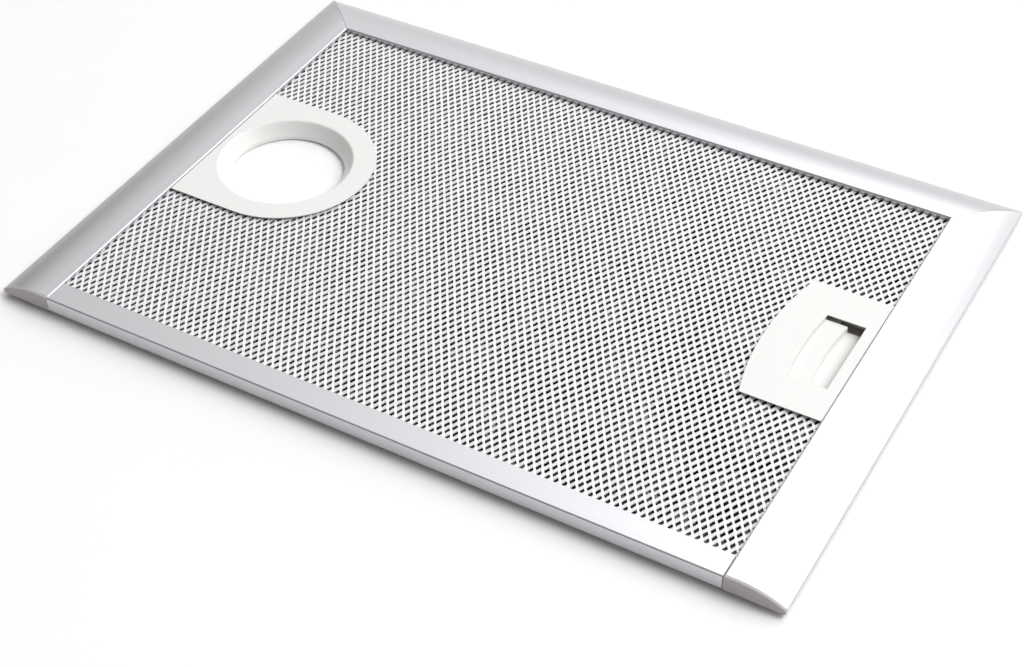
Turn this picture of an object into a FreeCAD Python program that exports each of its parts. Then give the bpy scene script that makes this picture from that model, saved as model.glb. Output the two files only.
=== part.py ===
"""Cooker hood grease filter: expanded mesh in an aluminium frame, with a lamp collar and a spring catch.

The filter lies with its room side up. The origin is the middle of its footprint on the surface
that it lies on, X runs along the long side towards the catch, Y towards the far rail, Z up.
All sizes are in millimetres.
"""
import FreeCAD, Part
import math
import os

from FreeCAD import Vector

# Overall size
width = 380.0
depth = 270.0
rail_height = 7.4
standoff = 1.8

# Bowed rail on the left, far and right sides
rail_width = 26.0
rail_wall = 1.2
lip_height = 2.2
lip_radius = 0.4
bead_radius = 0.8
crown_run = 20.0
channel_depth = 12.0
bead_height = 2.0
bead_wall = 1.2
floor_wall = 1.0
floor_setback = 2.0
mitre_gap = 0.15

# Hooks on the left rail that hold the filter opposite the catch
hook_spacing = 140.0
hook_width = 16.0
hook_reach = 6.5
hook_corner = 2.0

# Flat rail that closes the near side
near_width = 12.0
near_wall = 1.2
near_bead_wall = 1.0
near_edge_radius = 0.8
near_butt_gap = 0.1

# Caps on the cut ends of the bowed rails
cap_thickness = 1.6
cap_edge = 0.3
plug_length = 8.0
plug_clearance = 0.15

# Flat keys that join the rails inside the channel
key_length = 32.0
key_clearance = 0.05
key_side_clearance = 0.3

# Mesh pack: two face meshes with finer layers between them
face_thickness = 0.9
inner_layers = 3
pack_clearance = 0.3
pack_cut_clearance = 0.5
gap_pitch_x = 28.0
gap_pitch_y = 44.0
gap_width = 16.0
gap_length = 27.0
inner_pitch_x = 130.0
inner_pitch_y = 84.0
inner_gap_width = 86.0
inner_gap_length = 52.0
gap_taper = 0.72
gap_margin = 1.5
lamp_gap_sides = 16

# Lamp collar and the ring that holds it from behind
lamp_inset = 62.0
collar_radius = 43.5
collar_thickness = 1.3
collar_undercut = 0.9
lamp_hole_radius = 28.0
lamp_land = 2.0
foot_lift = 0.7
rim_radius = 32.5
rim_round = 1.5
rim_steps = 3
collar_wall = 1.9
snap_height = 0.8
snap_bead = 0.6
snap_clearance = 0.15
ring_radius = 37.0
seam = 0.2

# Catch: cover plate with its housing
catch_length = 80.0
catch_reach = 42.3
catch_arc_radius = 147.0
catch_thickness = 1.3
catch_undercut = 0.9
housing_margin = 6.0
housing_wall = 1.5
window_length = 43.0
window_inset = 5.3
window_reach = 19.4
skirt_depth = 2.9
skirt_wall = 1.5

# Catch: slider with its grip and bolt
grip_drop = 1.8
grip_edge = 0.5
trough_reach = 9.4
slider_clearance = 0.3
end_gap = 1.2
slider_wing = 5.6
wing_length = 9.0
base_thickness = 1.8
bolt_width = 24.0
bolt_sink = 0.5
bolt_bevel = 2.0
bolt_nose = 0.5
bolt_clearance = 0.5
travel = 6.0
spring_room = 1.8

# Catch: back cover, screws and leaf spring
cover_floor = 1.5
cover_margin = 2.0
cover_corner = 3.0
cover_edge = 0.4
cover_gap = 0.5
screw_block = 6.0
screw_radius = 1.1
screw_head_radius = 2.1
screw_head_height = 0.9
screw_length = 4.6
screw_sink = 0.1
screw_clearance = 0.05
spring_strip = 0.4
spring_height = 3.0
spring_clearance = 0.1

# How far a cutter runs past the faces that it cuts, and how near a point lies on a face
over = 1.0
near = 1e-3

# Levels and lines that follow from the sizes above
half_width = width / 2
half_depth = depth / 2
rail_bottom = standoff
rail_top = standoff + rail_height
pack_bottom = rail_bottom + floor_wall
pack_top = rail_top - bead_height
channel_back = rail_width - channel_depth
hollow_back = channel_back - rail_wall
crown_drop = rail_height - lip_height
crown_radius = (crown_run ** 2 + crown_drop ** 2) / (2 * crown_drop)
crown_centre = rail_top - crown_radius
key_thickness = bead_height - rail_wall - key_clearance
rail_start = -half_depth + cap_thickness
pack_x = half_width - channel_back - pack_clearance
pack_far = half_depth - channel_back - pack_clearance
pack_near = -half_depth + max(cap_thickness, near_wall) + pack_clearance
inner_thickness = (pack_top - pack_bottom - 2 * face_thickness) / inner_layers
view_x = half_width - rail_width
view_far = half_depth - rail_width
view_near = -half_depth + near_width
collar_x = -half_width + lamp_inset
collar_top = pack_top + collar_thickness
collar_hole = rim_radius + collar_wall + pack_cut_clearance
catch_right = view_x - seam
catch_middle = view_x - catch_reach
catch_centre = catch_middle + catch_arc_radius
catch_top = pack_top + catch_thickness
housing_left = catch_middle + housing_margin
housing_y = catch_length / 2 - housing_margin
window_right = view_x - window_inset
window_left = window_right - window_reach
grip_front = window_right - trough_reach
slider_left = housing_left + housing_wall + spring_room + travel
slider_right = catch_right - housing_wall - slider_clearance
slider_bottom = cover_floor + slider_clearance
slider_floor = slider_bottom + base_thickness
skirt_bottom = catch_top - skirt_depth
grip_top = catch_top - grip_drop
grip_y = window_length / 2 - end_gap
slider_y = window_length / 2 + slider_wing
guide_y = slider_y + slider_clearance
ledge_bottom = slider_floor + slider_clearance
bolt_tip = half_width - hollow_back + travel - bolt_sink
screw_y = (guide_y + housing_y) / 2
screw_x = (housing_left + catch_right) / 2


def box(low, high):
    """Return the block between two opposite corners."""
    size = Vector(*high) - Vector(*low)
    return Part.makeBox(size.x, size.y, size.z, Vector(*low))


def mirror_x(shape):
    """Return the shape's mirror image across the plane x = 0."""
    return shape.mirror(Vector(0, 0, 0), Vector(1, 0, 0))


def mirror_y(shape):
    """Return the shape's mirror image across the plane y = 0."""
    return shape.mirror(Vector(0, 0, 0), Vector(0, 1, 0))


def prism(points, low, high):
    """Return the upright prism on a plan outline of straight sides."""
    corners = [Vector(x, y, low) for x, y in points]
    wire = Part.makePolygon(corners + corners[:1])
    return Part.Face(wire).extrude(Vector(0, 0, high - low))


def edges_where(shape, wanted):
    """Return the edges whose ends and a point between them pass the test."""
    chosen = []
    for edge in shape.Edges:
        first, last = edge.ParameterRange
        points = [vertex.Point for vertex in edge.Vertexes] + [edge.valueAt((2 * first + last) / 3)]
        if all(wanted(point) for point in points):
            chosen.append(edge)
    return chosen


def round_edges(shape, radius, wanted):
    """Round the edges that pass the test."""
    return shape.makeFillet(radius, edges_where(shape, wanted))


def bevel_edges(shape, size, wanted):
    """Bevel the edges that pass the test."""
    return shape.makeChamfer(size, edges_where(shape, wanted))


def crown_level(run, inset=0.0):
    """Return the height of the rail's bowed skin, or of a face that far inside it."""
    aside = max(crown_run - run, 0.0)
    return crown_centre + math.sqrt((crown_radius - inset) ** 2 - aside ** 2)


def section_face(place, steps):
    """Return a face from (kind, run, level) steps, where a bow follows the rail's skin to its point."""
    edges = []
    for (kind, run, level), (_, last_run, last_level) in zip(steps, steps[-1:] + steps[:-1]):
        start = place(last_run, last_level)
        end = place(run, level)
        if kind == "line":
            edges.append(Part.makeLine(start, end))
        else:
            middle = (run + last_run) / 2
            inset = crown_radius - math.hypot(crown_run - run, level - crown_centre)
            edges.append(Part.Arc(start, place(middle, crown_level(middle, inset)), end).toShape())
    return Part.Face(Part.Wire(edges))


def rail_section(place):
    """Return the bowed rail's section: lip, bowed skin, bead, and the channel that holds the mesh pack."""
    under = rail_top - rail_wall
    return section_face(place, [
        ("line", 0, rail_bottom),
        ("line", 0, rail_bottom + lip_height),
        ("bow", crown_run, rail_top),
        ("line", rail_width, rail_top),
        ("line", rail_width, pack_top),
        ("line", rail_width - bead_wall, pack_top),
        ("line", rail_width - bead_wall, under),
        ("line", crown_run, under),
        ("bow", channel_back, crown_level(channel_back, rail_wall)),
        ("line", channel_back, pack_bottom),
        ("line", rail_width - floor_setback, pack_bottom),
        ("line", rail_width - floor_setback, rail_bottom),
        ("line", hollow_back, rail_bottom),
        ("line", hollow_back, crown_level(hollow_back, rail_wall)),
        ("bow", rail_wall, crown_level(rail_wall, rail_wall)),
        ("line", rail_wall, rail_bottom),
    ])


def round_rail(bar, run):
    """Round a bowed rail's outer lip and the inner edge of its bead, where run is the way in from outside."""
    level = rail_bottom + lip_height
    bar = round_edges(bar, lip_radius, lambda p: abs(run(p)) < near and abs(p.z - level) < near)
    return round_edges(bar, bead_radius, lambda p: abs(run(p) - rail_width) < near and
                       abs(p.z - rail_top) < near)


def mitre_wedge(sign, of_side):
    """Return what a 45 degree mitre takes off a side rail, or off the far rail, at one far corner."""
    reach = rail_width + over
    shift = mitre_gap * math.cos(math.pi / 4)
    plan = [(-over, shift - over), (reach, reach + shift), (reach, -over)]
    if not of_side:
        plan = [(t, s) for s, t in plan]
    return prism([(sign * (half_width - s), half_depth - t) for s, t in plan], 0, rail_top + over)


def side_rail(sign):
    """Return the left (-1) or right (+1) bowed rail, mitred at the far end and notched for the near key."""
    face = rail_section(lambda run, level: Vector(sign * (half_width - run), rail_start, level))
    bar = face.extrude(Vector(0, half_depth - rail_start, 0))
    bar = round_rail(bar, lambda p: half_width - sign * p.x)
    key_way = box((view_x - over, -half_depth, pack_top - over),
                  (view_x + bead_wall, view_near, rail_top - rail_wall))
    return bar.cut(mitre_wedge(sign, True)).cut(key_way if sign > 0 else mirror_x(key_way))


def frame_left():
    """Return the left rail with the two hooks left standing on its channel."""
    bar = side_rail(-1)
    tip = -half_width + hollow_back - hook_reach
    root = -half_width + channel_back
    half = hook_width / 2
    for middle in (-hook_spacing / 2, hook_spacing / 2):
        hook = box((tip, middle - half, rail_bottom), (root, middle + half, pack_bottom))
        corner = lambda p: abs(p.x - tip) < near and abs(abs(p.y - middle) - half) < near
        bar = bar.fuse(round_edges(hook, hook_corner, corner))
    return bar.removeSplitter()


def frame_right():
    """Return the right rail, notched where the catch bolt passes through its channel."""
    half = bolt_width / 2 + bolt_clearance
    notch = box((view_x, -half, 0),
                (half_width - hollow_back + rail_wall, half, slider_floor + bolt_clearance))
    return side_rail(1).cut(notch)


def frame_far():
    """Return the far bowed rail, mitred at both ends."""
    face = rail_section(lambda run, level: Vector(-half_width, half_depth - run, level))
    bar = face.extrude(Vector(width, 0, 0))
    bar = round_rail(bar, lambda p: half_depth - p.y)
    return bar.cut(mitre_wedge(-1, False)).cut(mitre_wedge(1, False))


def frame_near():
    """Return the flat channel rail that closes the near side between the two side rails."""
    end = view_x - near_butt_gap
    under = rail_top - near_wall
    points = [
        (0, rail_bottom), (0, rail_top), (near_width, rail_top), (near_width, pack_top),
        (near_width - near_bead_wall, pack_top), (near_width - near_bead_wall, under),
        (near_wall, under), (near_wall, pack_bottom),
        (near_width - floor_setback, pack_bottom), (near_width - floor_setback, rail_bottom),
    ]
    corners = [Vector(-end, -half_depth + run, level) for run, level in points]
    bar = Part.Face(Part.makePolygon(corners + corners[:1])).extrude(Vector(2 * end, 0, 0))
    return round_edges(bar, near_edge_radius, lambda p: abs(p.y + half_depth) < near and on_rail_edge(p.z))


def on_rail_edge(level):
    """Return whether a level is the top or the bottom of the rails."""
    return min(abs(level - rail_top), abs(level - rail_bottom)) < near


def end_cap(sign):
    """Return the cap on a side rail's near end, with the plug that holds it in the rail's hollow."""
    def place(start):
        return lambda run, level: Vector(sign * (half_width - run), start, level)

    plate = section_face(place(-half_depth), [
        ("line", 0, rail_bottom),
        ("line", 0, rail_bottom + lip_height),
        ("bow", crown_run, rail_top),
        ("line", rail_width, rail_top),
        ("line", rail_width, rail_bottom),
    ]).extrude(Vector(0, cap_thickness, 0))
    plate = round_rail(plate, lambda p: half_width - sign * p.x)
    plate = bevel_edges(plate, cap_edge, lambda p: abs(p.y + half_depth) < near)
    inset = rail_wall + plug_clearance
    deep = hollow_back - plug_clearance
    plug = section_face(place(rail_start), [
        ("line", inset, rail_bottom),
        ("line", inset, crown_level(inset, inset)),
        ("bow", deep, crown_level(deep, inset)),
        ("line", deep, rail_bottom),
    ]).extrude(Vector(0, plug_length, 0))
    return plate.fuse(plug).removeSplitter()


def far_key(sign):
    """Return the flat corner key that joins the far rail to a side rail, lying on the mesh pack."""
    outer = crown_run
    inner = rail_width - bead_wall - key_side_clearance
    end = outer + key_length
    plan = [(outer, outer), (end, outer), (end, inner), (inner, inner), (inner, end), (outer, end)]
    points = [(sign * (half_width - s), half_depth - t) for s, t in plan]
    return prism(points, pack_top, pack_top + key_thickness)


def near_key(sign):
    """Return the flat key that joins the near rail to a side rail, lying on the mesh pack."""
    low = -half_depth + max(cap_thickness, near_wall) + key_side_clearance
    high = view_near - near_bead_wall - key_side_clearance
    right = half_width - crown_run
    key = box((right - key_length, low, pack_top), (right, high, pack_top + key_thickness))
    return key if sign > 0 else mirror_x(key)


def collar_plan(grow=0.0):
    """Return the collar flange's plan outline as a face: a round end and straight sides to the left rail."""
    radius = collar_radius + grow
    left = -view_x + seam
    corners = [Vector(collar_x, radius, 0), Vector(left, radius, 0), Vector(left, -radius, 0),
               Vector(collar_x, -radius, 0)]
    edges = [Part.makeLine(a, b) for a, b in zip(corners, corners[1:])]
    edges.append(Part.Arc(corners[3], Vector(collar_x + radius, 0, 0), corners[0]).toShape())
    return Part.Face(Part.Wire(edges))


def catch_arc(middle, half):
    """Return the bowed edge through (middle, 0), drawn about the catch plate's own centre."""
    radius = catch_centre - middle
    end = catch_centre - math.sqrt(radius ** 2 - half ** 2)
    return Part.Arc(Vector(end, half, 0), Vector(middle, 0, 0), Vector(end, -half, 0)).toShape()


def bowed_plan(middle, right, half):
    """Return a plan face with a bowed left edge and three straight sides."""
    arc = catch_arc(middle, half)
    upper = arc.Vertexes[0].Point
    lower = arc.Vertexes[-1].Point
    corners = [lower, Vector(right, -half, 0), Vector(right, half, 0), upper]
    edges = [arc] + [Part.makeLine(a, b) for a, b in zip(corners, corners[1:])]
    return Part.Face(Part.Wire(edges))


def raised(face, low, high):
    """Return a plan face extruded between two levels."""
    face.translate(Vector(0, 0, low))
    return face.extrude(Vector(0, 0, high - low))


def catch_notch(low, high):
    """Return the clear space for the catch housing, open to the right edge of the mesh pack."""
    half = housing_y + pack_cut_clearance
    return box((housing_left - pack_cut_clearance, -half, low), (pack_x + over, half, high))


def lamp_gap(low, high):
    """Return the many-sided clear space for the collar's throat, hidden between the flange and the ring."""
    turn = 2 * math.pi / lamp_gap_sides
    radius = collar_hole / math.cos(turn / 2)
    points = [(collar_x + radius * math.cos(turn * side), radius * math.sin(turn * side))
              for side in range(lamp_gap_sides)]
    return prism(points, low, high)


def diamond_corners(x, y, level, size_x, size_y):
    """Return the corners of a diamond about a point, in turn from its right tip."""
    return [Vector(x + size_x / 2, y, level), Vector(x, y + size_y / 2, level),
            Vector(x - size_x / 2, y, level), Vector(x, y - size_y / 2, level)]


def flat_sided(foot, head):
    """Return the solid with flat sides between two outlines of the same form."""
    outlines = [foot, head]
    for a, b, c, d in zip(foot, foot[1:] + foot[:1], head[1:] + head[:1], head):
        outlines.append([a, b, c, d])
    faces = [Part.Face(Part.makePolygon(points + points[:1])) for points in outlines]
    return Part.makeSolid(Part.makeShell(faces))


def gap_places(pitch_x, pitch_y, gap_x, gap_y):
    """Yield the centres of the diamond gaps that lie clear of the rails, the collar and the catch."""
    collar = collar_plan(gap_margin)
    plate = bowed_plan(catch_middle - gap_margin, view_x, catch_length / 2 + gap_margin)
    middle_y = (view_far + view_near) / 2
    columns = math.ceil(view_x / pitch_x)
    rows = math.ceil((view_far - view_near) / pitch_y)
    for row in range(-2 * rows, 2 * rows + 1):
        for column in range(-2 * columns, 2 * columns + 1):
            if (row + column) % 2:
                continue
            x = column * pitch_x / 2
            y = middle_y + row * pitch_y / 2
            if abs(x) + gap_x / 2 + gap_margin > view_x:
                continue
            if abs(y - middle_y) + gap_y / 2 + gap_margin > (view_far - view_near) / 2:
                continue
            corners = diamond_corners(x, y, 0, gap_x, gap_y)
            diamond = Part.Face(Part.makePolygon(corners + corners[:1]))
            if diamond.distToShape(collar)[0] > 0 and diamond.distToShape(plate)[0] > 0:
                yield x, y


def mesh_sheet(low, thickness, pitch_x, pitch_y, gap_x, gap_y):
    """Return one mesh layer: a sheet of diamond gaps whose strands rise to narrow ridges."""
    high = low + thickness
    sheet = box((-pack_x, pack_near, low), (pack_x, pack_far, high))
    cutters = [lamp_gap(low - over, high + over), catch_notch(low - over, high + over)]
    for x, y in gap_places(pitch_x, pitch_y, gap_x, gap_y):
        foot = diamond_corners(x, y, low, gap_taper * gap_x, gap_taper * gap_y)
        cutters.append(flat_sided(foot, diamond_corners(x, y, high, gap_x, gap_y)))
    return sheet.cut(cutters)


def upper_mesh():
    """Return the face mesh on the room side."""
    low = pack_top - face_thickness
    return mesh_sheet(low, face_thickness, gap_pitch_x, gap_pitch_y, gap_width, gap_length)


def inner_mesh(number):
    """Return one of the layers between the face meshes, with its diamonds lying the other way."""
    low = pack_bottom + face_thickness + number * inner_thickness
    return mesh_sheet(low, inner_thickness, inner_pitch_x, inner_pitch_y, inner_gap_width, inner_gap_length)


def lower_mesh(upper):
    """Return the face mesh on the hood side: the upper one turned over."""
    level = (pack_bottom + pack_top) / 2
    return upper.mirror(Vector(0, 0, level), Vector(0, 0, 1))


def lamp_throat():
    """Return the clear space through the collar: a straight land, a taper and a rim rounded in steps."""
    taper_start = foot_lift + lamp_land
    turn = math.pi / 2 - math.atan2(rim_radius - lamp_hole_radius, collar_top - taper_start)
    outer = rim_radius + rim_round * math.tan(turn / 2)
    level = collar_top - rim_round
    points = [(0, -over), (lamp_hole_radius, -over), (lamp_hole_radius, taper_start)]
    for step in range(rim_steps + 1):
        angle = turn * (1 - step / rim_steps)
        points.append((outer - rim_round * math.sin(angle), level + rim_round * math.cos(angle)))
    points += [(outer, collar_top + over), (0, collar_top + over)]
    corners = [Vector(collar_x + radius, 0, height) for radius, height in points]
    profile = Part.Face(Part.makePolygon(corners + corners[:1]))
    return profile.revolve(Vector(collar_x, 0, 0), Vector(0, 0, 1))


def lamp_collar():
    """Return the collar round the lamp opening: undercut flange, tapered throat and a snap bead."""
    axis = Vector(collar_x, 0, foot_lift)
    foot = lamp_hole_radius + collar_wall
    left = -view_x + seam
    body = raised(collar_plan(), pack_top, collar_top)
    body = bevel_edges(body, collar_undercut, lambda p: abs(p.z - pack_top) < near and
                       (p.x > left + near or abs(p.y) > collar_radius - near))
    body = body.fuse(Part.makeCone(foot, rim_radius + collar_wall, pack_top - foot_lift, axis))
    body = body.fuse(Part.makeCylinder(foot + snap_bead, snap_height, axis))
    return body.cut(lamp_throat())


def collar_ring():
    """Return the ring that snaps over the collar's foot and clamps the mesh pack."""
    axis = Vector(collar_x, 0, 0)
    foot = lamp_hole_radius + collar_wall + snap_clearance
    height = pack_bottom - foot_lift
    mouth = foot + (rim_radius - lamp_hole_radius) * height / (pack_top - foot_lift)
    ring = Part.makeCylinder(ring_radius, pack_bottom, axis)
    throat = Part.makeCone(foot, mouth, height, axis + Vector(0, 0, foot_lift))
    recess = Part.makeCylinder(foot + snap_bead, foot_lift + snap_height + snap_clearance, axis)
    return ring.cut([throat, recess])


def catch_plate():
    """Return the catch's cover plate with the window, its skirt and the housing walls below."""
    half = catch_length / 2
    window_half = window_length / 2
    plate = raised(bowed_plan(catch_middle, catch_right, half), pack_top, catch_top)
    plate = bevel_edges(plate, catch_undercut, lambda p: abs(p.z - pack_top) < near and
                        (p.x < catch_right - near or abs(p.y) > half - near))
    outer = box((housing_left, -housing_y, cover_floor), (catch_right, housing_y, pack_top))
    inner = box((housing_left + housing_wall, -housing_y + housing_wall, 0),
                (catch_right - housing_wall, housing_y - housing_wall, pack_top))
    body = plate.fuse(outer.cut(inner))
    for sign in (-1, 1):
        guide = box((housing_left, guide_y, cover_floor), (catch_right, guide_y + skirt_wall, pack_top))
        ledge = box((housing_left, guide_y - skirt_wall, ledge_bottom), (catch_right, guide_y, pack_top))
        block = box((screw_x - screw_block / 2, guide_y, cover_floor),
                    (screw_x + screw_block / 2, housing_y, pack_top))
        for wall in (guide, ledge, block):
            body = body.fuse(wall if sign > 0 else mirror_y(wall))
    body = body.fuse(box((window_right, -window_half, skirt_bottom),
                         (window_right + skirt_wall, window_half, pack_top)))
    window = raised(bowed_plan(window_left, window_right, window_half), skirt_bottom - over, catch_top + over)
    body = body.cut([window, window_undercut(), mirror_y(window_undercut()), bolt_way()])
    for sign in (-1, 1):
        body = body.cut(Part.makeCylinder(screw_radius + screw_clearance, screw_length + screw_sink,
                                          Vector(screw_x, sign * screw_y, 0)))
    return body.removeSplitter()


def window_undercut():
    """Return the bevel under the window's far edge, which leaves a thin land above an open end."""
    edge = window_length / 2
    land = pack_top + catch_undercut
    points = [(edge - over, pack_top), (edge - over, land), (edge, land), (edge + catch_undercut, pack_top)]
    corners = [Vector(window_left, y, z) for y, z in points]
    return Part.Face(Part.makePolygon(corners + corners[:1])).extrude(Vector(window_reach, 0, 0))


def bolt_way():
    """Return the opening in the housing's right wall that the bolt slides through."""
    half = bolt_width / 2 + bolt_clearance
    return box((slider_right, -half, 0), (view_x, half, slider_floor + bolt_clearance))


def catch_slider():
    """Return the sliding grip with its guide wings and the bolt that reaches through the right rail."""
    half_bolt = bolt_width / 2
    base = box((slider_left, -grip_y, slider_bottom), (slider_right, grip_y, slider_floor))
    wings = box((slider_left, -slider_y, slider_bottom), (slider_left + wing_length, slider_y, slider_floor))
    bolt = box((slider_right - over, -half_bolt, slider_bottom), (bolt_tip, half_bolt, slider_floor))
    ramp_side = [
        Vector(bolt_tip - bolt_bevel, -half_bolt, slider_bottom),
        Vector(bolt_tip, -half_bolt, slider_floor - bolt_nose),
        Vector(bolt_tip, -half_bolt, slider_bottom),
    ]
    ramp = Part.Face(Part.makePolygon(ramp_side + ramp_side[:1])).extrude(Vector(0, bolt_width, 0))
    grip = box((slider_left, -grip_y, slider_floor), (window_right, grip_y, grip_top))
    grip = grip.cut(raised(bowed_plan(grip_front, catch_right, slider_y), slider_floor, grip_top))
    grip = bevel_edges(grip, grip_edge, lambda p: abs(p.z - grip_top) < near and p.x > grip_front - near)
    return base.fuse([wings, bolt.cut(ramp), grip]).removeSplitter()


def catch_back():
    """Return the tray that closes the housing from behind and clamps the mesh pack round it."""
    left = housing_left - housing_margin + cover_margin
    right = half_width - rail_width + floor_setback - cover_gap
    half = catch_length / 2 - cover_margin
    tray = box((left, -half, 0), (right, half, pack_bottom))
    tray = round_edges(tray, cover_corner, lambda p: abs(p.x - left) < near and abs(abs(p.y) - half) < near)
    tray = bevel_edges(tray, cover_edge, lambda p: abs(p.z) < near)
    tray = tray.cut(catch_notch(cover_floor, pack_bottom + over))
    for sign in (-1, 1):
        mouth = Part.makeCylinder(screw_head_radius + screw_clearance, screw_sink,
                                  Vector(screw_x, sign * screw_y, 0))
        tray = tray.cut([mouth, screw(sign, screw_clearance)])
    return tray


def screw(sign, grow=0.0):
    """Return the near (-1) or far (+1) screw with its sunk head down, or a larger copy that clears it."""
    foot = Vector(screw_x, sign * screw_y, screw_sink)
    head = Part.makeCone(screw_head_radius + grow, screw_radius + grow, screw_head_height, foot)
    shank = Part.makeCylinder(screw_radius + grow, screw_length, foot)
    return head.fuse(shank)


def catch_screws():
    """Return the screws that pull the catch's plate and back together."""
    return Part.makeCompound([screw(-1), screw(1)])


def catch_spring():
    """Return the bowed leaf spring between the housing's left wall and the slider."""
    wall = housing_left + housing_wall + spring_clearance
    crest = slider_left - spring_clearance
    half = slider_y - housing_wall
    edges = []
    corners = [Vector(wall, half, 0), Vector(wall + spring_strip, half, 0),
               Vector(wall + spring_strip, -half, 0), Vector(wall, -half, 0)]
    edges.append(Part.makeLine(corners[0], corners[1]))
    edges.append(Part.Arc(corners[1], Vector(crest, 0, 0), corners[2]).toShape())
    edges.append(Part.makeLine(corners[2], corners[3]))
    edges.append(Part.Arc(corners[3], Vector(crest - spring_strip, 0, 0), corners[0]).toShape())
    return raised(Part.Face(Part.Wire(edges)), slider_bottom, slider_bottom + spring_height)


def build():
    """Return every piece of the filter by its name."""
    upper = upper_mesh()
    pieces = {
        "frame_left": frame_left(),
        "frame_far": frame_far(),
        "frame_right": frame_right(),
        "frame_near": frame_near(),
        "end_cap_left": end_cap(-1),
        "end_cap_right": end_cap(1),
        "far_key_left": far_key(-1),
        "far_key_right": far_key(1),
        "near_key_left": near_key(-1),
        "near_key_right": near_key(1),
        "upper_mesh": upper,
        "lower_mesh": lower_mesh(upper),
        "lamp_collar": lamp_collar(),
        "collar_ring": collar_ring(),
        "catch_plate": catch_plate(),
        "catch_slider": catch_slider(),
        "catch_spring": catch_spring(),
        "catch_back": catch_back(),
        "catch_screws": catch_screws(),
    }
    for number in range(inner_layers):
        pieces["inner_mesh_" + str(number + 1)] = inner_mesh(number)
    return pieces


os.makedirs("parts", exist_ok=True)
for name, shape in build().items():
    shape.exportStep("parts/" + name + ".step")
    print(name, len(shape.Solids), "solid", round(shape.Volume, 1), "mm3", shape.isValid())
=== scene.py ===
"""Looks of a cooker hood grease filter: anodised rails, expanded mesh, a lamp collar and a finger catch.

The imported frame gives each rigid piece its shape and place. This script dresses those pieces, stretches the
mesh layers at their true pitch, fits the leaf spring, and sets the camera and the studio light.
Sizes named in millimetres are turned into metres with MM where a mesh or a light is made.
"""
import logging
import math
from dataclasses import dataclass
from enum import Enum
from typing import Optional, Union

import bpy
import numpy as np
from mathutils import Matrix, Vector


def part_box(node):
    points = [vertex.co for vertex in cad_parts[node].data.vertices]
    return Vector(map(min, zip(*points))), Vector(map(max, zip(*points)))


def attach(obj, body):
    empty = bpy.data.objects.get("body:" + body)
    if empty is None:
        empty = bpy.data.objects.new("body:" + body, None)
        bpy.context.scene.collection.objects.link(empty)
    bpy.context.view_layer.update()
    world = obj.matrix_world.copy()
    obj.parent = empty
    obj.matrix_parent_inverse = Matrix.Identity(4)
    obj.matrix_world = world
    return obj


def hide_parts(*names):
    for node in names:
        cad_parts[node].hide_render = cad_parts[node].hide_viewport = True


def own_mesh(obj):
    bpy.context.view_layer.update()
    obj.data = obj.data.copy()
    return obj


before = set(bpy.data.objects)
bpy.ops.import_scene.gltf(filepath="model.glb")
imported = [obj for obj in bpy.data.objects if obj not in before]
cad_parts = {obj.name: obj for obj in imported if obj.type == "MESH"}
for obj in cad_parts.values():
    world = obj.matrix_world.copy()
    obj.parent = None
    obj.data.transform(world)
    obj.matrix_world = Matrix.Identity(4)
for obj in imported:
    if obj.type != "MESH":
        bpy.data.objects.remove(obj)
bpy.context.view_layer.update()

MM = 0.001
LOG = logging.getLogger("grease_filter")

Colour = tuple[float, float, float, float]
SocketName = Union[str, int]

# A mix node has sockets of the same name for each kind of data, so its colours go by number.
MIX_SHARE = 0
MIX_FIRST = 6
MIX_SECOND = 7
MIX_RESULT = 2


class Lie(Enum):
    """Which way a rail was drawn or a mesh's long diagonals lie."""

    ALONG_X = "along x"
    ALONG_Y = "along y"


class Lean(Enum):
    """Which tip of each opening is raised, so that the strands lean: the one towards the catch or the lamp.

    In a sheet that lies along X these are the far tip and the near one.
    """

    TO_CATCH = 1
    TO_LAMP = -1


def linear(colour: str) -> Colour:
    """Turn an sRGB colour into linear light.

    Args:
        colour: The colour as a hash sign and six hex digits.

    Returns:
        Red, green, blue and an alpha of one.
    """
    channels = [int(colour[place:place + 2], 16) / 255 for place in (1, 3, 5)]
    light = [c / 12.92 if c <= 0.04045 else ((c + 0.055) / 1.055) ** 2.4 for c in channels]
    return (light[0], light[1], light[2], 1.0)


def add_node(
    tree: bpy.types.NodeTree,
    kind: str,
    settings: Optional[dict[SocketName, object]] = None,
    links: Optional[dict[SocketName, bpy.types.NodeSocket]] = None,
) -> bpy.types.Node:
    """Add a shader node with its settings and links.

    Args:
        tree: The node tree of a material or of the world.
        kind: The node's type name.
        settings: Values by input name or number, or by property name.
        links: Output sockets by the input name or number that they feed.

    Returns:
        The new node.
    """
    made = tree.nodes.new(kind)
    for name, value in (settings or {}).items():
        if isinstance(name, str) and name not in made.inputs:
            setattr(made, name, value)
        else:
            made.inputs[name].default_value = value
    for name, source in (links or {}).items():
        tree.links.new(source, made.inputs[name])
    return made


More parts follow.
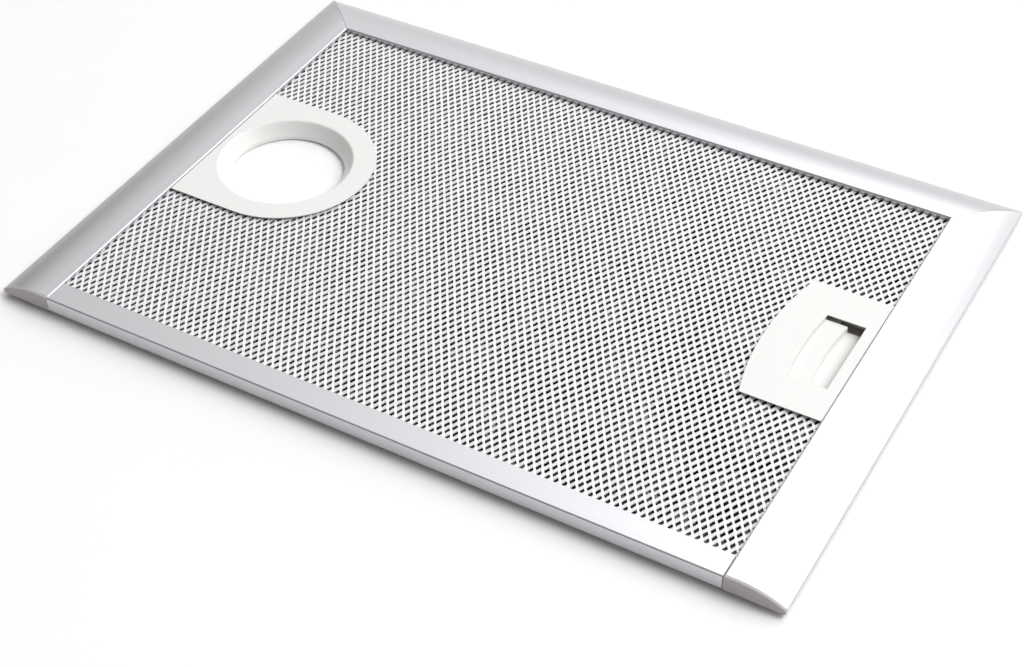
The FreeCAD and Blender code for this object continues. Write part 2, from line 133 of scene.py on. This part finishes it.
@dataclass(frozen=True)
class Finish:
    """A surface: what it is made of, how it was made and how it takes the light.

    The shade pattern moves the colour between two tones. The relief pattern moves the roughness between two
    values and gives the fine height of the surface. Sizes and heights are in millimetres, and stretch is how
    many times longer a patch is along the lie than across it.
    """

    name: str
    dark: str
    light: str
    smooth: float
    rough: float
    metallic: float
    shade_size: float
    relief_size: float
    relief_height: float
    stretch: float = 1.0
    lie: Lie = Lie.ALONG_X
    ior: float = 1.5

    def material(self) -> bpy.types.Material:
        """Give this finish's material, made the first time that it is asked for.

        Returns:
            The material.
        """
        made = bpy.data.materials.get(self.name)
        if made is None:
            made = bpy.data.materials.new(self.name)
            made.use_nodes = True
            self.lay(made.node_tree)
        return made

    def lay(self, tree: bpy.types.NodeTree) -> None:
        """Lay the shade and relief patterns and the shader that they feed.

        Args:
            tree: The node tree of the material.
        """
        shader = tree.nodes["Principled BSDF"]
        shader.inputs["Metallic"].default_value = self.metallic
        shader.inputs["IOR"].default_value = self.ior
        place = add_node(tree, "ShaderNodeTexCoord").outputs["Object"]
        shade = self.pattern(tree, place, self.shade_size, detail=3.0)
        relief = self.pattern(tree, place, self.relief_size, detail=2.0)
        tone = add_node(tree, "ShaderNodeMix",
                        {"data_type": "RGBA", MIX_FIRST: linear(self.dark), MIX_SECOND: linear(self.light)},
                        {MIX_SHARE: shade})
        gloss = add_node(tree, "ShaderNodeMapRange", {"To Min": self.smooth, "To Max": self.rough},
                         {"Value": relief})
        bump = add_node(tree, "ShaderNodeBump", {"Strength": 1.0, "Distance": self.relief_height * MM},
                        {"Height": relief})
        tree.links.new(tone.outputs[MIX_RESULT], shader.inputs["Base Color"])
        tree.links.new(gloss.outputs["Result"], shader.inputs["Roughness"])
        tree.links.new(bump.outputs["Normal"], shader.inputs["Normal"])

    def pattern(
        self, tree: bpy.types.NodeTree, place: bpy.types.NodeSocket, size: float, detail: float
    ) -> bpy.types.NodeSocket:
        """Add a noise of a real size, drawn out along the way that the piece was made.

        Args:
            tree: The node tree of the material.
            place: The position on the piece.
            size: The size of one patch across the lie, in millimetres.
            detail: How many finer octaves the noise has.

        Returns:
            The noise's value.
        """
        across = 1.0 / (size * MM)
        along = across / self.stretch
        scale = (along, across, across) if self.lie is Lie.ALONG_X else (across, along, across)
        spread = add_node(tree, "ShaderNodeMapping", {"Scale": scale}, {"Vector": place})
        noise = add_node(tree, "ShaderNodeTexNoise", {"Scale": 1.0, "Detail": detail},
                         {"Vector": spread.outputs["Vector"]})
        return noise.outputs["Fac"]


def drawn_aluminium(lie: Lie) -> Finish:
    """Give the rails' finish: extruded aluminium, etched and clear anodised.

    The etch leaves a satin skin that blurs what it reflects, and the die leaves faint lines along the rail.
    The lines are finer than a pixel in life, and are drawn 1.1 mm apart so that they show.

    Args:
        lie: The way that the rail was drawn.

    Returns:
        The finish.
    """
    return Finish(
        name="anodised_aluminium_drawn_" + lie.name.lower(), dark="#D1D1D4", light="#D6D6D9",
        smooth=0.34, rough=0.42, metallic=1.0, shade_size=14.0, relief_size=1.1, relief_height=0.004,
        stretch=60.0, lie=lie)


# Stamped from mill sheet: a little darker and glossier than the rails, with the roll's fine streaks.
KEY_ALUMINIUM = Finish(
    name="mill_aluminium_stamped", dark="#B9BABD", light="#CDCED0", smooth=0.28, rough=0.4, metallic=1.0,
    shade_size=4.0, relief_size=0.6, relief_height=0.006, stretch=20.0)

# Slit and stretched sheet, etched pale: a bright strand, a little uneven where it was pulled. The etch
# scatters most of the light, so that the strand is only partly a mirror.
FACE_MESH_ALUMINIUM = Finish(
    name="expanded_aluminium_etched", dark="#D8D8DA", light="#F0F0F2", smooth=0.4, rough=0.6, metallic=0.3,
    shade_size=3.0, relief_size=0.8, relief_height=0.03)

# The foil next to the face mesh is painted dark as painted shade for the depth of the pack, its tone
# wandering between near black and grey, so that the openings above it turn from black to grey.
INNER_FOIL_PAINTED_SHADE = Finish(
    name="expanded_foil_painted_shade", dark="#28282A", light="#808082", smooth=0.34, rough=0.55, metallic=1.0,
    shade_size=5.0, relief_size=1.0, relief_height=0.04)

# The layers inside are thinner foil, painted dim as painted shade for the depth of the pack, so that they
# stay dim behind the face mesh.
INNER_MESH_PAINTED_SHADE = Finish(
    name="expanded_foil_painted_deep_shade", dark="#303134", light="#5E5F63", smooth=0.4, rough=0.6, metallic=1.0,
    shade_size=6.0, relief_size=1.0, relief_height=0.02)

# White ABS from a spark-eroded mould: a soft sheen, with a grain that only shows where light grazes it. The
# grain is finer in life, and is drawn 0.5 mm wide so that it can show.
WHITE_ABS = Finish(
    name="abs_moulded_white", dark="#EDECEA", light="#F0EFED", smooth=0.34, rough=0.42, metallic=0.0,
    shade_size=22.0, relief_size=0.5, relief_height=0.006, ior=1.54)

# Grey polypropylene caps and tray from a fine-grained mould: satin, and duller than the rails beside them.
# The hidden tray's grey is a guessed plastic colour, and it is also painted shade, so that the cavity under
# the catch window reads dark.
# The grain is drawn as wide as that of the white pieces.
GREY_POLYPROPYLENE = Finish(
    name="polypropylene_moulded_grey", dark="#B0ABAA", light="#B8B3B2", smooth=0.4, rough=0.5, metallic=0.0,
    shade_size=8.0, relief_size=0.5, relief_height=0.008, ior=1.49)

# Cold rolled strip, hardened: a dark blue-grey skin with fine lines along the strip, drawn 0.3 mm apart so
# that they can show.
SPRING_STEEL = Finish(
    name="spring_steel_rolled", dark="#6E7076", light="#84868C", smooth=0.25, rough=0.35, metallic=1.0,
    shade_size=2.0, relief_size=0.3, relief_height=0.004, stretch=20.0, lie=Lie.ALONG_Y)

# Bright zinc over steel: a pale blue cast and slightly uneven gloss.
ZINC_STEEL = Finish(
    name="steel_zinc_plated", dark="#B4B7BC", light="#CACDD1", smooth=0.2, rough=0.32, metallic=1.0,
    shade_size=1.2, relief_size=0.4, relief_height=0.006)

# Matt white board under the filter, with no sheen of its own.
WHITE_BOARD = Finish(
    name="board_matt_white", dark="#FCFCFC", light="#FFFFFF", smooth=0.9, rough=1.0, metallic=0.0,
    shade_size=60.0, relief_size=2.0, relief_height=0.01)


def dress(node: str, finish: Finish) -> None:
    """Give a CAD node its finish.

    Args:
        node: The node's name.
        finish: The surface that it gets.
    """
    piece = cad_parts[node]
    piece.data.materials.clear()
    piece.data.materials.append(finish.material())
    LOG.info("%s: %s", node, finish.name)


def new_piece(name: str, points: np.ndarray, faces: np.ndarray, finish: Finish) -> bpy.types.Object:
    """Make a mesh object from points and four-sided faces.

    Args:
        name: The piece's name.
        points: One row of X, Y, Z for each point, in millimetres.
        faces: One row of four point numbers for each face.
        finish: The surface that it gets.

    Returns:
        The new object, linked to the scene.
    """
    mesh = bpy.data.meshes.new(name)
    mesh.from_pydata((points * MM).tolist(), [], faces.tolist())
    mesh.materials.append(finish.material())
    piece = bpy.data.objects.new(name, mesh)
    bpy.context.scene.collection.objects.link(piece)
    LOG.info("%s: %d faces, %s", name, len(faces), finish.name)
    return piece


def strip(count: int) -> np.ndarray:
    """Give the faces of a closed bar through rings of four points.

    Args:
        count: How many rings the bar has.

    Returns:
        The side faces and the two ends, by point number.
    """
    start = 4 * np.arange(count - 1)[:, None]
    sides = [np.stack([start + a, start + 4 + a, start + 4 + b, start + b], axis=2)
             for a, b in ((0, 1), (1, 2), (2, 3), (3, 0))]
    ends = np.array([[0, 1, 2, 3], [3, 2, 1, 0]]) + np.array([[0], [4 * (count - 1)]])
    return np.concatenate([side.reshape(-1, 4) for side in sides] + [ends])


def thickened(faces: np.ndarray, count: int) -> np.ndarray:
    """Return the faces of a closed sheet from those of its upper skin.

    Args:
        faces: The upper skin's faces, four point numbers each.
        count: How many points the upper skin has; the lower skin's points follow in the same order.

    Returns:
        The faces of both skins and of the walls round every free edge.
    """
    starts, ends = faces.reshape(-1), np.roll(faces, -1, axis=1).reshape(-1)
    free = ~np.isin(starts * count + ends, ends * count + starts)
    start, end = starts[free], ends[free]
    walls = np.stack([end, start, start + count, end + count], axis=1)
    return np.concatenate([faces, faces[:, ::-1] + count, walls])


@dataclass(frozen=True)
class MeshWindow:
    """Where the mesh layers run, in millimetres.

    The outline lies under the rails, and the lamp hole and the notch for the catch are cut from it.
    """

    low: tuple[float, float]
    high: tuple[float, float]
    lamp: tuple[float, float]
    lamp_radius: float
    notch_left: float
    notch_half: float

    @classmethod
    def from_frame(cls, tuck: float = 2.3, ring_cover: float = 2.2, tray_cover: float = 3.5) -> "MeshWindow":
        """Read the window from the rails, the collar ring and the catch tray.

        Args:
            tuck: How far a layer runs in under the rails.
            ring_cover: How far the collar ring laps over the layers' lamp hole.
            tray_cover: How far the catch tray laps over the layers' notch.

        Returns:
            The window that the layers fill.
        """
        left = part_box("frame_left")[1].x / MM
        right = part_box("frame_right")[0].x / MM
        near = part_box("frame_near")[1].y / MM
        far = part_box("frame_far")[0].y / MM
        ring_low, ring_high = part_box("collar_ring")
        tray_low, tray_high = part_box("catch_back")
        middle = (ring_low + ring_high) / (2 * MM)
        radius = (ring_high.x - ring_low.x) / (2 * MM)
        return cls(
            low=(left - tuck, near - tuck), high=(right + tuck, far + tuck), lamp=(middle.x, middle.y),
            lamp_radius=radius - ring_cover, notch_left=tray_low.x / MM + tray_cover,
            notch_half=tray_high.y / MM - tray_cover)

    def holds(self, x: np.ndarray, y: np.ndarray) -> np.ndarray:
        """Return which places lie inside the outline and clear of the lamp hole and the notch.

        Args:
            x: The places' X.
            y: The places' Y.

        Returns:
            One truth value for each place.
        """
        inside = (x > self.low[0]) & (x < self.high[0]) & (y > self.low[1]) & (y < self.high[1])
        lamp = np.hypot(x - self.lamp[0], y - self.lamp[1]) < self.lamp_radius
        notch = (x > self.notch_left) & (np.abs(y) < self.notch_half)
        return inside & ~lamp & ~notch


@dataclass(frozen=True)
class Diamond:
    """The repeat of an expanded sheet and its opening, in millimetres.

    Each opening is a diamond with one short tip raised and the other sunk, so that every strand leans. Rack
    is how far each of those tips is drawn along the lie, as in a sheet that was pulled a little askew.
    """

    short_pitch: float
    long_pitch: float
    short_opening: float
    long_opening: float
    rise: float
    gauge: float
    rack: float = 0.0


@dataclass(frozen=True)
class ExpandedSheet:
    """One layer of expanded metal, cut to the window and set at the level of its CAD node.

    The long diagonals follow the lie. Uneven is how far a tip strays by itself, wander is how far the whole
    sheet wavers and waver is how long one wave is along X and along Y, all in millimetres.
    """

    node: str
    diamond: Diamond
    lie: Lie
    lean: Lean
    uneven: float
    wander: float
    seed: int
    finish: Finish
    slot: str
    waver: tuple[float, float] = (70.0, 95.0)

    def build(self, window: MeshWindow) -> None:
        """Stretch the layer over its window, in the place of its CAD node.

        Args:
            window: Where the layer runs.
        """
        across, along = (0, 1) if self.lie is Lie.ALONG_Y else (1, 0)
        row, step = self.diamond.short_pitch / 2, self.diamond.long_pitch / 2
        columns = self.count_off(window.low[across], window.high[across], row)
        places = self.count_off(window.low[along], window.high[along], step)
        grid = np.stack(np.meshgrid(columns, places, indexing="ij"), axis=-1)
        tips = self.settled(self.tips(grid * (row, step)))
        faces = self.faces(grid.sum(axis=-1) % 2 == 0)
        if self.lie is Lie.ALONG_X:
            faces = faces[:, ::-1]
        middles = tips[faces].mean(axis=1)
        faces = faces[window.holds(middles[:, 0], middles[:, 1])]
        used, packed = np.unique(faces, return_inverse=True)
        drop = np.array([0.0, 0.0, self.diamond.gauge / 2])
        points = np.concatenate([tips[used] + drop, tips[used] - drop])
        skins = thickened(packed.reshape(-1, 4), len(used))
        piece = new_piece(self.node + "_strands", points, skins, self.finish)
        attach(piece, "filter")
        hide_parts(self.node)

    @staticmethod
    def count_off(low: float, high: float, step: float) -> np.ndarray:
        """Number the steps of the lattice, from one before a stretch to one after it."""
        return np.arange(math.floor(low / step) - 1, math.ceil(high / step) + 2)

    def tips(self, middles: np.ndarray) -> np.ndarray:
        """Return the four tips of the opening at each place of the lattice.

        Args:
            middles: The openings' middles across and along the lie, as columns by places by two.

        Returns:
            Rows of across, along and height, in fours: sunk side, raised side, start and end.
        """
        wide, long = self.diamond.short_opening / 2, self.diamond.long_opening / 2
        high, rack = self.lean.value * self.diamond.rise / 2, self.diamond.rack
        steps = np.array([(-wide, -rack, -high), (wide, rack, high), (0, -long, 0), (0, long, 0)])
        flat = np.concatenate([middles, np.zeros_like(middles[..., :1])], axis=-1)
        tips = (flat[:, :, None, :] + steps).reshape(-1, 3)
        return tips + np.random.default_rng(self.seed).uniform(-self.uneven, self.uneven, tips.shape)

    def faces(self, bond: np.ndarray) -> np.ndarray:
        """Return the faces of the bonds and of the strands that rise and fall between them.

        Args:
            bond: Whether each place of the lattice is a bond, and not an opening.

        Returns:
            One row of four tip numbers for each face.
        """
        sunk = 4 * np.arange(bond.size).reshape(bond.shape)
        raised, start, end = sunk + 1, sunk + 2, sunk + 3
        bonds = np.stack([raised[:-2, 1:-1], end[1:-1, :-2], sunk[2:, 1:-1], start[1:-1, 2:]], axis=-1)
        rising = np.stack([start[:-1, 1:], sunk[1:, :-1], end[1:, :-1], raised[:-1, 1:]], axis=-1)
        falling = np.stack([end[:-1, :-1], raised[:-1, :-1], start[1:, 1:], sunk[1:, 1:]], axis=-1)
        return np.concatenate([bonds[bond[1:-1, 1:-1]], rising[bond[:-1, :-1]], falling[bond[:-1, 1:]]])

    def settled(self, tips: np.ndarray) -> np.ndarray:
        """Turn the tips to the lie and set them at the node's level, with the waver of a stretched sheet.

        Args:
            tips: The tips across and along the lie, about level zero.

        Returns:
            The tips in their places.
        """
        low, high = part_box(self.node)
        level = (low.z + high.z) / (2 * MM)
        phases = np.random.default_rng(self.seed + 1).uniform(0, 2 * math.pi, 4)
        x, y, z = (tips if self.lie is Lie.ALONG_Y else tips[:, [1, 0, 2]]).T
        slow_x, slow_y = (2 * math.pi / length for length in self.waver)
        moved_x = x + self.wander * np.sin(slow_y * y + phases[0]) * np.cos(slow_x * x + phases[1])
        moved_y = y + self.wander * np.sin(slow_x * x + phases[2]) * np.cos(slow_y * y + phases[3])
        return np.stack([moved_x, moved_y, level + z], axis=1)


@dataclass(frozen=True)
class MeshPack:
    """The five layers of the filter: two face meshes and three thinner foils between them."""

    face: Diamond = Diamond(short_pitch=3.86, long_pitch=6.17, short_opening=2.35, long_opening=3.8,
                            rise=0.45, gauge=0.4, rack=0.4)
    upper_foil: Diamond = Diamond(short_pitch=3.7, long_pitch=5.9, short_opening=2.6, long_opening=4.2,
                                  rise=0.3, gauge=0.2)
    lower_foils: Diamond = Diamond(short_pitch=4.6, long_pitch=7.2, short_opening=3.2, long_opening=5.0,
                                   rise=0.4, gauge=0.2)

    def build(self) -> None:
        """Stretch all five layers."""
        window = MeshWindow.from_frame()
        for node, lean, seed in (("upper_mesh", Lean.TO_CATCH, 11), ("lower_mesh", Lean.TO_LAMP, 12)):
            ExpandedSheet(node, self.face, Lie.ALONG_Y, lean, uneven=0.08, wander=0.12, seed=seed,
                          finish=FACE_MESH_ALUMINIUM, slot="expanded_mesh").build(window)
        # The three foils carry painted shade: their dark colours stand in for the shade inside the pack.
        for number, lie in ((1, Lie.ALONG_Y), (2, Lie.ALONG_X)):
            ExpandedSheet(f"inner_mesh_{number}", self.lower_foils, lie, Lean.TO_CATCH, uneven=0.15,
                          wander=1.2, seed=20 + number, finish=INNER_MESH_PAINTED_SHADE,
                          slot="filter_mesh").build(window)
        ExpandedSheet("inner_mesh_3", self.upper_foil, Lie.ALONG_Y, Lean.TO_CATCH, uneven=0.25, wander=1.6,
                      seed=23, finish=INNER_FOIL_PAINTED_SHADE, slot="filter_mesh").build(window)


@dataclass(frozen=True)
class FrameRails:
    """The four rails of the frame and the keys that join them."""

    drawn_along_y: tuple[str, ...] = ("frame_left", "frame_right")
    drawn_along_x: tuple[str, ...] = ("frame_far", "frame_near")
    keys: tuple[str, ...] = ("far_key_left", "far_key_right", "near_key_left", "near_key_right")

    def build(self) -> None:
        """Dress the rails along the way that each was drawn, then the keys."""
        for node in self.drawn_along_y:
            dress(node, drawn_aluminium(Lie.ALONG_Y))
        for node in self.drawn_along_x:
            dress(node, drawn_aluminium(Lie.ALONG_X))
        for node in self.keys:
            dress(node, KEY_ALUMINIUM)


@dataclass(frozen=True)
class EndCaps:
    """The caps on the cut ends of the side rails."""

    nodes: tuple[str, ...] = ("end_cap_left", "end_cap_right")

    def build(self) -> None:
        """Dress the caps."""
        for node in self.nodes:
            dress(node, GREY_POLYPROPYLENE)


@dataclass(frozen=True)
class LampCollar:
    """The collar round the lamp opening and the ring that snaps on behind it."""

    nodes: tuple[str, ...] = ("lamp_collar", "collar_ring")

    def build(self) -> None:
        """Dress the collar and its ring."""
        for node in self.nodes:
            dress(node, WHITE_ABS)


@dataclass(frozen=True)
class FingerCatch:
    """The spring catch: plate, slider, tray, screws and the leaf spring between wall and slider."""

    moulded: tuple[str, ...] = ("catch_plate", "catch_slider")
    travel: float = 6.0
    strip_gauge: float = 0.4
    steps: int = 24

    def build(self) -> None:
        """Dress the moulded pieces and the screws, and fit the spring."""
        for node in self.moulded:
            dress(node, WHITE_ABS)
        # The tray is grey and not white like the other catch pieces, partly as painted shade that darkens the
        # cavity under the catch window.
        dress("catch_back", GREY_POLYPROPYLENE)
        dress("catch_screws", ZINC_STEEL)
        self.spring()

    def spring(self) -> None:
        """Bend the leaf spring, an arc from wall to slider."""
        low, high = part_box("catch_spring")
        wall, crest = low.x / MM, high.x / MM
        half, bottom, top = high.y / MM, low.z / MM, high.z / MM
        rise = crest - wall - self.strip_gauge
        radius = (half ** 2 + rise ** 2) / (2 * rise)
        turn = math.asin(half / radius) * np.linspace(-1.0, 1.0, self.steps + 1)
        rings = []
        for outer, level in ((0, top), (1, top), (1, bottom), (0, bottom)):
            x = wall + rise - radius + radius * np.cos(turn) + outer * self.strip_gauge
            rings.append(np.stack([x, radius * np.sin(turn), np.full_like(turn, level)], axis=1))
        bars = np.stack(rings, axis=1)
        piece = new_piece("leaf_spring", bars.reshape(-1, 3), strip(len(bars)), SPRING_STEEL)
        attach(piece, "filter")
        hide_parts("catch_spring")
        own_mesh(piece)


@dataclass(frozen=True)
class PhotoCamera:
    """The camera that took the photograph, solved from the frame's edges.

    Its place and its sensor are in millimetres, and its focal length and centre are in the picture's pixels.
    """

    place: tuple[float, float, float] = (330.615, -578.819, 560.468)
    right: tuple[float, float, float] = (0.857637, 0.513246, -0.032212)
    down: tuple[float, float, float] = (0.326502, -0.591841, -0.736967)
    forward: tuple[float, float, float] = (-0.397309, 0.621533, -0.675160)
    focal: float = 1904.68
    centre: tuple[float, float] = (448.97, 338.88)
    picture: tuple[int, int] = (1024, 667)
    sensor: float = 36.0

    def build(self) -> None:
        """Set the scene's camera where the photograph was taken, with the same lens and framing."""
        wide, high = self.picture
        lens = bpy.data.cameras.new("photo_camera")
        lens.sensor_fit = "HORIZONTAL"
        lens.sensor_width = self.sensor
        lens.lens = self.focal * self.sensor / wide
        lens.shift_x = (wide / 2 - self.centre[0]) / wide
        lens.shift_y = (self.centre[1] - high / 2) / wide
        camera = bpy.data.objects.new("photo_camera", lens)
        bpy.context.scene.collection.objects.link(camera)
        turn = Matrix((self.right, -Vector(self.down), -Vector(self.forward))).transposed()
        camera.matrix_world = Matrix.Translation(Vector(self.place) * MM) @ turn.to_4x4()
        bpy.context.scene.camera = camera


@dataclass(frozen=True)
class Studio:
    """A white table in a room that is bright behind on the right, under a panel and a key light.

    The levels are radiances, where one is the white of the table. Each reach says between which shares of
    pointing straight at its side a direction passes from outside that part of the room to inside it.
    """

    floor_half: float = 9000.0
    floor_drop: float = 0.02
    dim: float = 0.25
    bright: float = 0.83
    right_side: tuple[float, float, float] = (0.9955, 0.0947, 0.0)
    right_reach: tuple[float, float] = (-0.838, -0.588)
    rear_side: tuple[float, float, float] = (0.0, 1.0, 0.0)
    rear_reach: tuple[float, float] = (-0.2, 0.4)
    panel: float = 3.8
    panel_side: tuple[float, float, float] = (-0.027, 0.703, 0.711)
    panel_reach: tuple[float, float] = (0.892, 1.092)
    key_size: float = 1560.0
    key_side: tuple[float, float, float] = (0.57, 0.22, 0.79)
    key_distance: float = 3000.0
    key_radiance: float = 7.15

    def build(self) -> None:
        """Make the floor, the room's light and the key light."""
        bpy.context.scene.view_settings.view_transform = "Standard"
        self.floor()
        self.room()
        self.key()

    def floor(self) -> None:
        """Lay the white table top, a hair below level zero so that no face shares its plane."""
        half, level = self.floor_half, -self.floor_drop
        corners = [(x * half, y * half, level) for x, y in ((-1, -1), (1, -1), (1, 1), (-1, 1))]
        new_piece("table_top", np.array(corners), np.array([[0, 1, 2, 3]]), WHITE_BOARD)

    def room(self) -> None:
        """Light the room: a dim front and left, a brighter side behind on the right, and the panel above."""
        world = bpy.data.worlds.new("studio_room")
        bpy.context.scene.world = world
        world.use_nodes = True
        tree = world.node_tree
        look = add_node(tree, "ShaderNodeTexCoord").outputs["Generated"]
        shares = []
        for side, reach in ((self.right_side, self.right_reach), (self.rear_side, self.rear_reach),
                            (self.panel_side, self.panel_reach)):
            facing = add_node(tree, "ShaderNodeVectorMath", {"operation": "DOT_PRODUCT", 1: side}, {0: look})
            share = add_node(tree, "ShaderNodeMapRange", {"interpolation_type": "SMOOTHSTEP",
                                                          "From Min": reach[0], "From Max": reach[1]},
                             {"Value": facing.outputs["Value"]})
            shares.append(share.outputs["Result"])
        corner = add_node(tree, "ShaderNodeMath", {"operation": "MULTIPLY"}, {0: shares[0], 1: shares[1]})
        walls = add_node(tree, "ShaderNodeMath",
                         {"operation": "MULTIPLY_ADD", 1: self.bright - self.dim, 2: self.dim},
                         {0: corner.outputs["Value"]})
        light = add_node(tree, "ShaderNodeMath", {"operation": "MULTIPLY_ADD", 1: self.panel},
                         {0: shares[2], 2: walls.outputs["Value"]})
        backdrop = tree.nodes["Background"]
        backdrop.inputs["Color"].default_value = linear("#FFFFFF")
        tree.links.new(light.outputs["Value"], backdrop.inputs["Strength"])

    def key(self) -> None:
        """Hang the key light, a square softbox that faces the table's middle."""
        lamp = bpy.data.lights.new("key_softbox", "AREA")
        lamp.shape = "SQUARE"
        lamp.size = self.key_size * MM
        lamp.energy = self.key_radiance * math.pi * lamp.size ** 2
        piece = bpy.data.objects.new("key_softbox", lamp)
        bpy.context.scene.collection.objects.link(piece)
        way = Vector(self.key_side).normalized()
        piece.location = way * self.key_distance * MM
        piece.rotation_mode = "QUATERNION"
        piece.rotation_quaternion = way.to_track_quat("Z", "Y")


def main() -> None:
    """Build the filter's sub-assemblies, then the camera and the studio."""
    logging.basicConfig(level=logging.INFO, format="%(name)s: %(message)s")
    for part in (FrameRails(), EndCaps(), MeshPack(), LampCollar(), FingerCatch(), PhotoCamera(), Studio()):
        part.build()


if __name__ == "__main__":
    main()
